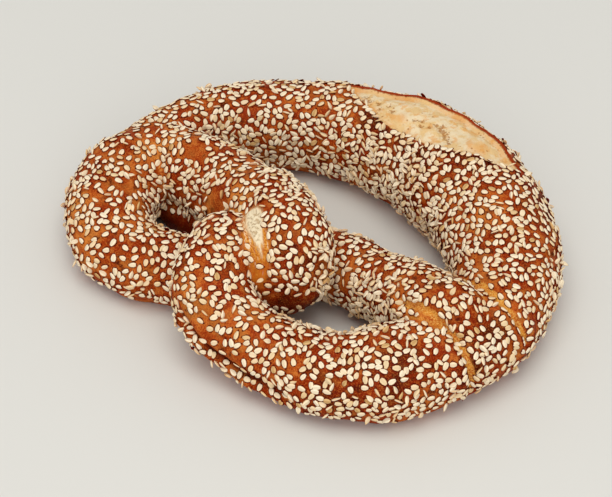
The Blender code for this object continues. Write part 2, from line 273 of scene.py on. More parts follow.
# Places are in mm in the frame. Each spot is x, y, z and how far it reaches, and each wave is its size, its
# height and its seed. Where something changes, two numbers say where that starts and where it is full.
bread = {
    "cell": 0.92,
    "smoothing": 8,
    "weldReach": 0.01,
    "sideSteps": 10,
    "doughSteps": 4,
    "lumps": ((21.0, 0.55, 3), (7.0, 0.16, 5)),
    # dough that is added to the rope: below the crack, and where the left arm sags onto the table
    "crackDough": ((-5.2, -31.0, 36.6, 3.3), (0.6, -34.6, 36.0, 3.4), (5.6, -38.2, 33.6, 3.4),
                   (10.2, -41.6, 26.0, 3.0), (11.8, -42.7, 20.0, 2.2)),
    "sag": ((-66.0, -19.0, 3.6, 4.6), (-57.0, -22.6, 3.9, 6.4), (-47.0, -24.0, 4.2, 6.8),
            (-36.0, -22.8, 4.8, 6.8), (-26.0, -21.2, 5.0, 6.2), (-14.0, -22.0, 5.0, 5.0)),
    "crease": {
        "otherStretch": 50.0,  # points of the rope further apart than this along it are two strands
        "tooFar": 99.0,
        "width": 1.7,
        "depth": 0.9,
        "turn": (0.86, 0.55),  # how far the two skins turn away from each other before it is a crease
        "softSpots": ((-73.0, -17.4, 26.0, 11.0),),
        "softShare": 0.85,
    },
    # the golden band of the crack and its pale head, with half widths
    "crack": {
        "band": ((-3.6, -33.0, 39.0, 4.8), (1.6, -37.6, 38.2, 5.0), (5.7, -39.8, 36.0, 5.2),
                 (8.3, -41.4, 33.2, 4.9), (10.1, -43.2, 29.2, 4.0), (11.2, -44.6, 25.4, 3.0),
                 (13.0, -44.2, 21.0, 1.5)),
        "head": ((-3.2, -32.8, 39.5, 3.7), (-1.0, -34.9, 39.1, 3.9), (2.4, -37.2, 38.0, 3.1),
                 (5.6, -39.0, 36.5, 2.1), (9.2, -41.0, 33.0, 0.8)),
        "edge": (-0.4, 0.8),
        "bareAroundHead": (-3.5, -1.0),
        "lengthwise": (1.0, -0.7, -0.8),
        "outwards": (0.4, -0.5, 0.77),
    },
    # the seams on the end of the right arm, with half widths at their start and end
    "seam": {
        "lines": (
            ((52.2, -18.7, 26.3), (60.0, -18.5, 29.6), (65.9, -18.1, 29.7), (71.3, -17.6, 27.6),
             (76.3, -17.6, 25.5), (80.5, -18.7, 23.7), (83.5, -19.3, 20.6), (84.9, -18.6, 15.2),
             (85.5, -19.0, 6.0)),
            ((62.0, 5.5, 25.5), (65.5, 5.1, 28.1), (70.9, 4.0, 29.2), (75.4, 4.0, 28.5),
             (79.3, 4.2, 26.9), (83.1, 4.1, 24.5), (86.1, 4.5, 20.8), (87.8, 5.5, 15.7)),
        ),
        "width": (2.1, 1.7),
        "depth": 1.6,
        "shoulder": 0.75,
        "shoulderAway": 3.2,
        "shoulderWidth": 2.2,
    },
    # the opened cut on the belly, a bow to each side of its middle line
    "cut": {
        "centre": (2.2, 50.5),
        "halfLength": 40.0,
        "halfWidth": 10.8,
        "turn": 3.0,
        "above": 20.0,
        "farthest": 1.15,
        "wobble": 0.32,
        "wobbleWaves": ((9.0, 1.0, 11), (3.5, 0.5, 12)),
        "wobbleOutside": 0.15,
        "wobbleEnds": (1.05, 0.8),
        "edge": (-0.4, 0.4),
        "depth": 1.5,
        "slope": (-0.4, 1.1),
        "lip": 0.7,
        "lipAway": -0.7,
        "lipWidth": 0.7,
        "lipEnds": (1.02, 0.9),
        "grain": 0.3,
        "grains": ((2.4, 1.0, 3.0), (1.1, 0.6, 9.0)),  # size, share and shift
        "farSide": (-0.5, 0.5),
        "farEnds": (1.05, 0.97),
        "pits": ((-28.0, 48.2, 31.0, 1.4), (-25.6, 47.2, 31.2, 1.3), (-21.5, 47.7, 31.4, 1.1),
                 (-16.7, 48.3, 32.9, 1.0), (-13.4, 46.3, 33.6, 1.1), (-3.1, 47.4, 34.7, 0.9),
                 (0.5, 46.6, 34.5, 1.1), (3.3, 47.9, 34.9, 1.0), (6.3, 50.8, 34.9, 1.5),
                 (8.0, 49.4, 35.0, 1.6), (10.0, 48.4, 35.2, 1.5), (12.3, 47.2, 35.4, 1.4),
                 (14.4, 45.8, 35.5, 1.2), (-19.0, 45.6, 32.2, 0.9), (-1.0, 48.8, 34.6, 0.9),
                 (4.5, 50.6, 34.9, 1.0)),
        "pitDepth": 0.9,
        "stains": ((-16.9, 57.0, 31.2, 3.2), (6.6, 59.6, 33.2, 2.4), (-33.5, 46.2, 31.5, 4.0),
                   (-8.2, 44.6, 34.0, 3.2), (25.3, 50.2, 36.7, 5.0), (-22.0, 43.6, 32.0, 3.4)),
    },
    # the fold along the front, with a roll of dough below it
    "fold": {
        "line": ((-2.3, -68.9, 20.5), (1.4, -70.1, 18.3), (12.4, -70.6, 14.6), (20.6, -69.3, 12.4),
                 (30.7, -67.6, 10.9), (48.7, -63.3, 9.1)),
        "start": (0.0, 0.04),
        "end": (1.0, 0.9),
        "below": (-0.5, 1.5),
        "width": 1.25,
        "depth": 2.2,
        "roll": 1.5,
        "rollAway": 3.4,
        "rollWidth": 2.2,
        "rollAbove": 0.3,  # how much of the roll there is above the fold
        "bareAway": (8.0, 5.0),
        "bareAlong": (0.75, 0.5),
        "rollReach": (6.0, 4.0),
    },
    # painted shade where the left arm sags onto the table, seen through the left hole; it goes into the fold
    # mask
    "shadeSpots": ((-60.0, -25.0, 3.0, 8.0), (-54.0, -28.0, 3.0, 8.0), (-47.0, -29.5, 3.0, 8.0),
                   (-40.0, -28.5, 4.0, 7.5)),
    "baldSpots": ((-50.2, -15.6, 31.4, 5.0), (-56.0, -43.8, 25.0, 4.4), (-80.7, -20.0, 24.9, 2.8),
                  (-27.0, -28.6, 27.5, 6.5), (-22.0, -29.0, 30.0, 4.0), (20.0, -38.3, 18.9, 4.5),
                  (24.1, -32.9, 18.4, 4.5), (15.0, -42.0, 19.0, 3.5)),
    "darkSpots": ((84.5, -10.4, 23.0, 9.0), (20.0, -38.3, 17.0, 7.0), (24.1, -32.9, 16.0, 7.0),
                  (20.6, -34.1, 33.9, 7.0), (24.1, 44.2, 37.7, 11.0), (54.3, 53.0, 25.9, 12.0),
                  (72.3, -42.3, 23.4, 9.0), (61.5, -56.5, 15.0, 10.0), (-13.1, 39.8, 32.4, 9.0),
                  (84.0, -20.0, 17.0, 7.0), (6.9, 34.3, 29.8, 10.0)),
    "goldenSpots": ((-63.6, -59.8, 23.2, 15.0), (-48.3, -65.6, 20.1, 14.0), (-74.6, -18.1, 27.6, 9.0),
                    (-63.2, -21.2, 27.6, 9.0), (-33.5, -22.6, 31.3, 10.0), (-15.1, -28.5, 36.1, 7.0),
                    (-1.2, -66.1, 27.9, 11.0), (8.3, -68.8, 23.2, 11.0), (25.6, -66.1, 20.4, 10.0),
                    (57.2, -19.3, 27.4, 7.0), (72.4, -22.0, 27.2, 6.0), (41.2, 23.9, 28.4, 9.0),
                    (84.4, 7.2, 23.3, 8.0), (81.4, 21.6, 19.9, 7.0), (-27.0, -28.6, 27.5, 8.0)),
}


def fuse(name, mesh):
    # joins the strands where they touch, in a fine grid, and smooths them
    piece = addObject(name, mesh)
    weld = piece.modifiers.new("weld", "WELD")
    weld.merge_threshold = bread["weldReach"] * mm
    join = piece.modifiers.new("join", "REMESH")
    join.mode = "VOXEL"
    join.voxel_size = bread["cell"] * mm
    join.use_smooth_shade = True
    soften = piece.modifiers.new("soften", "SMOOTH")
    soften.iterations = bread["smoothing"]
    bpy.context.view_layer.update()
    piece.data = bpy.data.meshes.new_from_object(piece.evaluated_get(bpy.context.evaluated_depsgraph_get()))
    piece.modifiers.clear()
    return piece


def strands(points, path):
    # how near each point is to the skin of a second stretch of rope, and how alike the two skins face
    plan = bread["crease"]
    arc = np.concatenate([[0], np.cumsum(np.linalg.norm(np.diff(path[:, :3], axis=0), axis=1))])
    near, alike = [], []
    for part in np.array_split(points, len(points) // 8000 + 1):  # in parts, to spare memory
        gap = np.linalg.norm(part[:, None] - path[None, :, :3], axis=2) - path[:, 3]
        first = gap.argmin(1)
        gap[np.abs(arc[None] - arc[first][:, None]) < plan["otherStretch"]] = plan["tooFar"]
        second = gap.argmin(1)
        near.append(gap[np.arange(len(part)), second])
        one, two = part - path[first, :3], part - path[second, :3]
        alike.append((one * two).sum(1) / np.linalg.norm(one, axis=1) / np.linalg.norm(two, axis=1))
    return np.concatenate(near), np.concatenate(alike)


def creaseMask(points, path):
    # 1 where two strands of the rope meet, and how much their skins turn away from each other there
    plan = bread["crease"]
    near, alike = strands(points, path)
    soft = 1 - plan["softShare"] * spots(points, plan["softSpots"])
    return ridge(np.maximum(near, 0), plan["width"]), ease(alike, *plan["turn"]) * soft


def seamMasks(points):
    # 1 in the seams, how far inside its edge each point is, and how far the dough is lifted beside them
    plan = bread["seam"]
    one, two = (toLine(points, line) for line in plan["lines"])
    away = np.minimum(one[0], two[0])
    along = np.where(one[0] < two[0], one[1], two[1])
    half = plan["width"][0] + (plan["width"][1] - plan["width"][0]) * along
    seam = ridge(away, half)
    shoulder = plan["shoulder"] * ridge(away, plan["shoulderWidth"], plan["shoulderAway"])
    return seam, half - away, shoulder - plan["depth"] * seam


def cutMasks(points):
    # distance in from the edge of the cut, seen from above, its side, 1 at the far one, and how far from the
    # middle each point is, as a share of half the length
    plan = bread["cut"]
    turn = math.radians(-plan["turn"])
    x, y = points[:, 0] - plan["centre"][0], points[:, 1] - plan["centre"][1]
    share = (x * math.cos(turn) - y * math.sin(turn)) / plan["halfLength"]
    aside = x * math.sin(turn) + y * math.cos(turn)
    bow = plan["halfWidth"] * (1 - share * share)
    slope = 2 * plan["halfWidth"] * share / plan["halfLength"]
    inside = (bow - np.abs(aside)) / np.sqrt(1 + slope ** 2)
    inside = np.where(np.abs(share) > plan["farthest"], farAway, inside)
    inside = np.where(points[:, 2] > plan["above"], inside, farAway)
    side, share = np.sign(aside), np.abs(share)
    wobble = manyWaves(points, plan["wobbleWaves"])
    steady = np.where(side > 0, plan["wobbleOutside"], 1.0)
    return inside + plan["wobble"] * wobble * steady * ease(share, *plan["wobbleEnds"]), side, share


def foldMasks(points):
    # distance to the fold, 1 along it and 0 past its ends, 1 below it, and how far along it each point is
    plan = bread["fold"]
    away, along, place = toLine(points, plan["line"])
    ends = ease(along, *plan["end"]) * ease(along, *plan["start"])
    return away, ends, ease(place[:, 2] - points[:, 2], *plan["below"]), along


def makeBread(path):
    dough = [smoothThrough(bread[part], bread["doughSteps"]) for part in ("crackDough", "sag")]
    piece = fuse("bread", addTube("rope", [path, *dough], bread["sideSteps"]))
    mesh = piece.data
    points, normals = readPoints(mesh) / mm, readPoints(mesh, "normal")
    crack, cut, fold = bread["crack"], bread["cut"], bread["fold"]

    bandAway, bandAlong, bandPlace = toLine(points, crack["band"])
    headAway, _, headPlace = toLine(points, crack["head"])
    inBand, inHead = bandPlace[:, 3] - bandAway, headPlace[:, 3] - headAway
    crackMask = ease(inBand, *crack["edge"])
    meeting, turned = creaseMask(points, path)
    crease = meeting * (1 - crackMask)
    crease *= turned
    seam, inSeam, seamLift = seamMasks(points)
    inside, side, share = cutMasks(points)
    foldAway, foldEnds, below, foldAlong = foldMasks(points)
    foldMask = ridge(foldAway, fold["width"]) * foldEnds
    # painted shade: the fold groove and the spots under the sagging left arm
    shade = np.maximum(foldMask, spots(points, bread["shadeSpots"]))
    crumb = ease(inside, *cut["edge"])

    lift = manyWaves(points, bread["lumps"])
    lift -= bread["crease"]["depth"] * crease
    lift += seamLift
    lift -= cut["depth"] * ease(inside, *cut["slope"])
    lip = ridge(inside, cut["lipWidth"], cut["lipAway"]) * (side > 0) * ease(share, *cut["lipEnds"])
    lift += cut["lip"] * lip
    rough = sum(part * grain(points, size, shift) for size, part, shift in cut["grains"])
    lift += crumb * cut["grain"] * rough
    lift -= fold["depth"] * foldMask
    roll = ridge(foldAway, fold["rollWidth"], fold["rollAway"])
    lift += fold["roll"] * roll * foldEnds * (fold["rollAbove"] + (1 - fold["rollAbove"]) * below)

    points = points + normals * lift[:, None]
    pits = spots(points, cut["pits"]) * crumb
    points -= normals * (cut["pitDepth"] * pits)[:, None]
    points[:, 2] = np.maximum(points[:, 2], 0)
    writePoints(mesh, points * mm)

    farSide = ease(side, *cut["farSide"])
    across = np.cross(points - bandPlace[:, :3], crack["lengthwise"]) @ np.array(crack["outwards"])
    for name, values in {
        "cutInside": inside,
        "cutFar": farSide * ease(share, *cut["farEnds"]),
        "crease": crease,
        "seam": inSeam,
        "crackBand": np.maximum(inBand, farAway),
        "crackHead": np.maximum(inHead, farAway),
        "crackAlong": bandAlong,
        "crackAcross": across,
        "pit": pits,
        "stain": spots(points, cut["stains"]),
        "fold": shade,
        "dark": spots(points, bread["darkSpots"]),
        "golden": spots(points, bread["goldenSpots"]),
    }.items():
        writeMask(mesh, name, values)
    mesh.shade_smooth()
    masks = {
        "crease": np.maximum(crease, seam),
        "crack": crackMask,
        "head": crackMask * ease(inHead, *crack["bareAroundHead"]),
        "bald": spots(points, bread["baldSpots"]),
        "fold": shade,
        "inside": inside,
        "far": farSide,
        "above": (ease(foldAway, *fold["bareAway"]) * foldEnds
                  * ease(foldAlong, *fold["bareAlong"]) * (1 - below)),
        "roll": ease(foldAway, *fold["rollReach"]) * foldEnds * below,
    }
    return piece, masks


class Value:
    # one socket of a material, so that maths on it is written as an expression

    def __init__(self, paint, socket):
        self.paint = paint
        self.socket = socket

    def maths(self, operation, first, second):
        return self.paint.add("Math", {"operation": operation}, {0: first, 1: second})

    def __add__(self, other):
        return self.maths("ADD", self, other)

    def __radd__(self, other):
        return self.maths("ADD", other, self)

    def __sub__(self, other):
        return self.maths("SUBTRACT", self, other)

    def __rsub__(self, other):
        return self.maths("SUBTRACT", other, self)

    def __mul__(self, other):
        return self.maths("MULTIPLY", self, other)

    def __rmul__(self, other):
        return self.maths("MULTIPLY", other, self)


class Paint:
    # one material and the ways to add to it

    def __init__(self, name):
        self.material = bpy.data.materials.new(name)
        self.material.use_nodes = True
        self.tree = self.material.node_tree
        self.tree.nodes.clear()
        self.place = self.add("TexCoord", {}, {}, "Object")

    def add(self, kind, settings, sockets, out=0):
        node = self.tree.nodes.new("ShaderNode" + kind)
        for name, setting in settings.items():
            setattr(node, name, setting)
        for name, value in sockets.items():
            if isinstance(value, Value):
                self.tree.links.new(value.socket, node.inputs[name])
            else:
                node.inputs[name].default_value = value
        return Value(self, node.outputs[out]) if len(node.outputs) else None

    def masks(self, *names):
        return [self.add("Attribute", {"attribute_name": name}, {}, "Fac") for name in names]

    def noise(self, place, scale, detail, roughness):
        return self.add("TexNoise", {}, {
            "Vector": place, "Scale": scale, "Detail": detail, "Roughness": roughness}, "Fac")

    def cloud(self, size, detail, roughness):
        return self.noise(self.place, 1 / (size * mm), detail, roughness)

    def strokes(self, across, along, plan):
        # noise that runs with or across the crack
        paceAcross, paceAlong, detail, roughness = plan
        place = self.add("CombineXYZ", {}, {"X": paceAcross * across, "Y": paceAlong * along})
        return self.noise(place, 1.0, detail, roughness)

    def pores(self, size):
        return self.add("TexVoronoi", {"feature": "F1"}, {
            "Vector": self.place, "Scale": 1 / (size * mm)}, "Distance")

    def ease(self, value, low, high, strength=1.0):
        return self.add("MapRange", {"interpolation_type": "SMOOTHSTEP"}, {
            "Value": value, "From Min": low, "From Max": high, "To Max": strength})

    def mix(self, first, second, factor):
        return self.add("Mix", {"data_type": "RGBA"}, {0: factor, 6: first, 7: second}, 2)

    def lay(self, below, above, value, levels):
        # lays one colour over another, as strongly as the value says
        return self.mix(below, above, self.ease(value, *levels))

    def bump(self, height, distance):
        return self.add("Bump", {}, {"Height": height, "Distance": distance * mm})

    def finish(self, sockets):
        self.add("OutputMaterial", {}, {"Surface": self.add("BsdfPrincipled", {}, sockets)})
        return self.material


crust = {
    "mahogany": tint(143, 41, 4),
    "dark": tint(78, 15, 1),
    "chestnut": tint(179, 79, 24),
    "golden": tint(216, 130, 56),
    "crease": tint(220, 142, 50),
    "creasePale": tint(242, 196, 104),
    "lip": tint(150, 48, 14),
    "crumb": tint(230, 196, 142),
    "crumbPale": tint(236, 216, 180),
    "crumbStain": tint(226, 160, 84),
    # painted shade in the pits and pores of the crumb
    "crumbPitShade": tint(172, 108, 44),
    # painted shade in the rib grooves of the crack's head
    "crackRibShade": tint(172, 130, 74),
    "crackPale": tint(242, 226, 194),
    "crackGold": tint(232, 164, 70),
    "crackAmber": tint(186, 102, 26),
    # size in mm, detail and roughness
    "clouds": {
        "wide": (14.0, 2.0, 0.5),
        "mottle": (7.0, 3.0, 0.6),
        "patch": (3.2, 2.0, 0.5),
        "speck": (0.7, 2.0, 0.6),
        "fine": (0.45, 2.0, 0.65),
        "crumb": (5.0, 3.0, 0.65),
        "stain": (3.6, 3.0, 0.6),
        "poreArea": (7.0, 1.0, 0.5),
    },
    "poreSize": 1.9,
    # pace across and along the crack, detail and roughness
    "streaks": (0.8, 5.0, 3.0, 0.6),
    "ribs": (0.5, 26.0, 2.0, 0.5),
    # where each layer starts, where it is full and, if less than whole, how strong it is there
    "levels": {
        "chestnut": (0.15, 0.8),
        "golden": (0.85, 1.6),
        "goldenPatch": (0.62, 0.82, 0.55),
        "deepMottle": (0.5, 0.82, 0.5),
        "deepPatch": (0.46, 0.3, 0.4),
        "dark": (0.3, 1.1),
        "goldenSpeck": (0.52, 0.68, 0.5),
        "darkSpeck": (0.48, 0.34, 0.5),
        "creaseBrown": (0.58, 0.82, 0.85),
        "creasePale": (0.64, 0.8, 0.7),
        "crease": (0.75, 1.2, 0.75),
        "seam": (0.65, 1.25, 0.95),
        # painted shade in the fold groove and under the sagging left arm
        "fold": (0.2, 0.75, 0.85),
        "crackAmber": (0.3, 0.85),
        "crackStreak": (0.36, 0.5, 0.7),
        "crackSpeck": (0.56, 0.74, 0.9),
        "crackPatch": (0.54, 0.7, 0.6),
        "headRim": (1.6, 0.0, 0.6),
        "crumbPale": (0.42, 0.58),
        "crumbStain": (0.5, 0.64, 0.6),
        "stainRim": (2.4, 0.4, 0.7),
        "stain": (0.3, 1.2, 0.75),
        "pit": (0.0, 1.0, 0.75),
    },
    # where each mask starts and where it is full
    "masks": {
        "lightness": (0.72, 1.15),
        "band": (-0.4, 1.8),
        "bandEnd": (1.0, 0.8),
        "head": (-0.1, 1.0),
        "ribArea": (0.8, 1.9),
        "rib": (0.44, 0.62),
        "crumb": (-0.15, 0.2),
        "pore": (0.3, 0.14),
        "poreArea": (0.5, 0.62),
        "pit": (0.35, 0.85),
        "lipOuter": (-1.0, -0.75),
        "lipInner": (0.0, -0.2),
    },
    # how much each layer adds to the lightness, the roughness and the relief, or takes away from it
    "light": {"mottle": 0.5, "speck": 0.35, "golden": 0.42, "crease": 0.5, "dark": 0.5},
    "rough": {"plain": 0.4, "mottle": 0.16, "speck": 0.12, "soft": 0.35},
    "relief": {"speck": 0.5, "fine": 0.35, "mottle": 0.6, "crumb": 0.8, "pit": 0.7, "rib": 0.9},
    "ribShadeStrength": 0.6,
    "lipStrength": 0.9,
    "coatWeight": 0.03,
    "coatRoughness": 0.25,
    "ior": 1.4,
    "specular": 0.04,
    "bump": 0.28,
}


def bakedTone(paint, clouds):
    # the crust from dark to golden, pale where strands meet, with painted shade in the fold groove and under
    # the sagging left arm
    levels = crust["levels"]
    wide, mottle, patch, speck, fine = (clouds[name] for name in ("wide", "mottle", "patch", "speck", "fine"))
    crease, seam, fold, dark, golden = paint.masks("crease", "seam", "fold", "dark", "golden")
    light = crust["light"]
    lightness = wide + light["mottle"] * mottle + light["speck"] * speck
    lightness = paint.ease(lightness, *crust["masks"]["lightness"])
    lightness = lightness + light["golden"] * golden + light["crease"] * crease - light["dark"] * dark
    deep = paint.ease(mottle + 0.25 * fine, *levels["deepMottle"]) + 0.5 * dark
    deep = deep + paint.ease(patch, *levels["deepPatch"])
    colour = paint.lay(crust["mahogany"], crust["chestnut"], lightness, levels["chestnut"])
    colour = paint.lay(colour, crust["golden"], lightness + 0.4 * speck, levels["golden"])
    colour = paint.lay(colour, crust["golden"], patch + 0.2 * fine, levels["goldenPatch"])
    colour = paint.lay(colour, crust["dark"], deep + 0.3 * speck, levels["dark"])
    colour = paint.lay(colour, crust["golden"], fine, levels["goldenSpeck"])
    colour = paint.lay(colour, crust["dark"], fine, levels["darkSpeck"])
    pale = paint.lay(crust["crease"], crust["chestnut"], patch + 0.4 * speck, levels["creaseBrown"])
    pale = paint.lay(pale, crust["creasePale"], fine + 0.4 * speck, levels["creasePale"])
    colour = paint.lay(colour, pale, crease + 0.3 * speck, levels["crease"])
    colour = paint.lay(colour, pale, seam + 0.9 * speck, levels["seam"])
    # painted shade in the fold groove and under the sagging left arm
    return paint.lay(colour, crust["dark"], fold, levels["fold"])


def crackTone(paint, clouds, colour):
    # the streaky band of the crack and its pale ribbed head, with painted shade in its rib grooves, and the
    # masks of the head, streaks and ribs
    levels, limits = crust["levels"], crust["masks"]
    patch, speck, fine = (clouds[name] for name in ("patch", "speck", "fine"))
    band, head, along, across = paint.masks("crackBand", "crackHead", "crackAlong", "crackAcross")
    streak = paint.strokes(across, along, crust["streaks"])
    rib = paint.strokes(across, along, crust["ribs"])
    browned = along + 0.8 * (streak - 0.5)
    tone = paint.lay(crust["crackGold"], crust["crackAmber"], browned, levels["crackAmber"])
    tone = paint.lay(tone, crust["crackPale"], streak - 0.3 * along, levels["crackStreak"])
    tone = paint.lay(tone, crust["crackAmber"], speck + 0.3 * fine, levels["crackSpeck"])
    tone = paint.lay(tone, crust["chestnut"], patch + 0.6 * (streak - 0.5), levels["crackPatch"])
    bandMask = paint.ease(band + 3.0 * (speck - 0.5) + 2.6 * (streak - 0.5), *limits["band"])
    colour = paint.mix(colour, tone, bandMask * paint.ease(along, *limits["bandEnd"]))
    headMask = paint.ease(head + 2.2 * (streak - 0.5) + 1.2 * (speck - 0.5), *limits["head"])
    ribMask = paint.ease(head, *limits["ribArea"]) * paint.ease(rib, *limits["rib"])
    tone = paint.lay(crust["crackPale"], crust["crumbStain"], head + 2.0 * (streak - 0.5), levels["headRim"])
    # painted shade in the rib grooves
    tone = paint.mix(tone, crust["crackRibShade"], ribMask * crust["ribShadeStrength"])
    return paint.mix(colour, tone, headMask), headMask, streak, ribMask


def cutTone(paint, clouds, colour):
    # the pale crumb of the cut, its stains, its pits and pores painted darker as their shade, and its dark
    # lip, with the masks of crumb and pits
    levels, limits = crust["levels"], crust["masks"]
    speck, cloud = clouds["speck"], clouds["crumb"]
    inside, far, pit, stain = paint.masks("cutInside", "cutFar", "pit", "stain")
    crumbMask = paint.ease(inside + 0.5 * (speck - 0.5), *limits["crumb"])
    stain = stain + paint.ease(inside, *levels["stainRim"])
    tone = paint.lay(crust["crumb"], crust["crumbPale"], cloud, levels["crumbPale"])
    tone = paint.lay(tone, crust["crumbStain"], clouds["stain"], levels["crumbStain"])
    tone = paint.lay(tone, crust["crumbStain"], stain + 1.2 * (cloud - 0.5), levels["stain"])
    colour = paint.mix(colour, tone, crumbMask)
    pore = paint.ease(paint.pores(crust["poreSize"]), *limits["pore"])
    pore = pore * paint.ease(clouds["poreArea"], *limits["poreArea"])
    pitMask = paint.ease(pit + 2.6 * (speck - 0.5), *limits["pit"])
    # painted shade in the pits and pores
    colour = paint.lay(colour, crust["crumbPitShade"], pitMask + pore * crumbMask, levels["pit"])
    lipMask = paint.ease(inside, *limits["lipOuter"]) * paint.ease(inside, *limits["lipInner"]) * far
    return paint.mix(colour, crust["lip"], lipMask * crust["lipStrength"]), crumbMask, pitMask


def crustPaint():
    paint = Paint("bakedCrust")
    clouds = {name: paint.cloud(*row) for name, row in crust["clouds"].items()}
    colour = bakedTone(paint, clouds)
    colour, headMask, streak, ribMask = crackTone(paint, clouds, colour)
    colour, crumbMask, pitMask = cutTone(paint, clouds, colour)
    mottle, speck, fine = clouds["mottle"], clouds["speck"], clouds["fine"]
    soft = paint.ease(crumbMask + headMask, 0.0, 1.0)
    rough, relief = crust["rough"], crust["relief"]
    height = relief["speck"] * speck + relief["fine"] * fine + relief["mottle"] * mottle
    height = height + soft * (streak + relief["crumb"] * clouds["crumb"])
    height = height - relief["pit"] * pitMask - relief["rib"] * ribMask * headMask
    return paint.finish({
        "Base Color": colour,
        "Roughness": rough["plain"] + rough["mottle"] * mottle + rough["speck"] * speck + rough["soft"] * soft,
        "Coat Weight": (1 - soft) * crust["coatWeight"],
        "Coat Roughness": crust["coatRoughness"],
        "IOR": crust["ior"],
        "Specular IOR Level": crust["specular"],
        "Normal": paint.bump(height, crust["bump"]),
    })


# Places are in mm. Spots where seeds lie thinner are x, y, z, reach and how much, and less than 0 is denser.
seedPlan = {
    "seed": 41,
    "tries": 150000,
    "length": (2.75, 3.45),
    "width": (1.5, 1.86),
    "thickness": (0.62, 0.86),
    "sink": 0.16,
    # where no seeds lie, or few
    "lowest": (4.2, 1.6),  # height, and how much it goes up and down
    "lowestWave": (12.0, 31),
    "downLimit": -0.5,
    "cutGap": (-0.1, -1.5),  # how far from the near and the far edge of the cut
    "bald": (0.25, 0.6),
    "crackDrop": 0.72,
    "crease": (0.35, 0.8),
    "fold": (0.3, 0.6),
    "aboveDrop": 0.97,
    "down": (0.05, -0.5),
    "downDrop": 0.85,
    "thin": 0.1,
    "thinWaves": ((13.0, 0.16, 33), (5.0, 0.24, 37)),
    "thinLeast": -0.12,
    "thinner": ((-45.0, -58.0, 10.0, 20.0, 0.25), (10.0, -64.0, 16.0, 14.0, 0.25),
                (-30.0, -20.0, 28.0, 16.0, 0.35), (-74.0, -26.0, 20.0, 20.0, 0.25),
                (78.0, 10.0, 22.0, 22.0, 0.12), (-6.0, -55.0, 22.0, 12.0, 0.2),
                (24.0, -22.0, 22.0, 9.0, 0.5), (28.0, -12.0, 14.0, 8.0, 0.4),
                (-32.0, -27.0, 14.0, 8.0, 0.5), (25.0, 44.0, 32.0, 30.0, -0.25),
                (45.0, -55.0, 15.0, 20.0, -0.1), (-40.0, 28.0, 26.0, 20.0, -0.12),
                (10.0, -43.0, 27.0, 6.0, 0.7)),
    # where seeds crowd: middles and half sizes of the openings and how much on their rims, then the rest
    "holes": ((0.0, 12.0, 60.0, 26.0, 1.0), (-41.0, -34.0, 18.0, 14.0, 0.6), (34.0, -28.0, 20.0, 17.0, 1.0)),
    "holeFacing": (0.35, 0.8),
    "holeReach": (1.35, 1.1),
    "rollCrowd": 0.8,
    "cutCrowd": 0.6,
    "cutCrowdReach": (-3.5, -1.5),
    "crowdWave": (10.0, 35),
    "crowdRise": (-0.5, 0.5),
    "clusterWave": (6.0, 39),
    "clusterRise": (0.75, 1.2),
    "clusterCrowd": 0.75,
    "sideCrowd": 0.25,
    "sideFacing": (0.5, 0.2),
    "sideFrom": (-60.0, -20.0),
    # how far apart seeds lie, measured between beads along each one
    "spacing": 1.53,
    "spread": (0.72, 1.3),
    "thinStretch": 1.1,
    "crowdSqueeze": 0.48,
    "beads": (-0.75, 0.0, 0.75),
    "cell": 4.0,
    "alone": 9.0,
    # how they lie: most of them flat, some leaning or on edge where they crowd
    "tight": (1.4, 0.95),
    "tightLean": 0.3,
    "tightLift": 0.25,
    "unevenLean": 0.08,
    "unevenRoll": 0.1,
    "standing": (0.035, 0.2),  # plain share, and how much more where they crowd
    "standLean": (0.4, 0.9),
    "onEdge": (0.04, 0.6),
    "edgeRoll": (0.5, 1.35),
    "lyingLimit": 0.5,
    "plainFoot": (0.92, 0.68, 0.9),
    # the seed's foot: partly dark glaze, partly painted contact shadow
    "under": tint(102, 12, 0),
    # painted warm bounce light on the shaded sides of the seeds
    "edge": tint(222, 168, 104),
    "kinds": {
        "seedsIvory": {
            "share": 0.46,
            "body": tint(236, 219, 191),
            "rim": tint(252, 241, 216),
            "tip": tint(244, 214, 164),
        },
        "seedsCream": {
            "share": 0.38,
            "body": tint(231, 211, 181),
            "rim": tint(248, 232, 202),
            "tip": tint(234, 194, 138),
        },
        "seedsGolden": {
            "share": 0.13,
            "body": tint(226, 201, 162),
            "rim": tint(242, 219, 178),
            "tip": tint(214, 168, 106),
        },
        "seedsToasted": {
            "share": 0.03,
            "body": tint(198, 158, 104),
            "rim": tint(222, 186, 132),
            "tip": tint(176, 122, 66),
        },
    },
    "fine": (0.5, 2.0, 0.5),
    "rimTone": (0.3, 0.66),
    "sideBounceTone": (0.8, 1.0, 0.7),
    "tipTone": (0.9, 1.3, 0.8),
    "unevenTone": (0.85, 1.3, 0.5),
    "footShadowAndGlazeTone": (0.05, 0.3),
    "rough": {"plain": 0.5, "fine": 0.15, "foot": 0.35},
    "ior": 1.4,
    "specular": 0.06,
    "bump": 0.06,
}


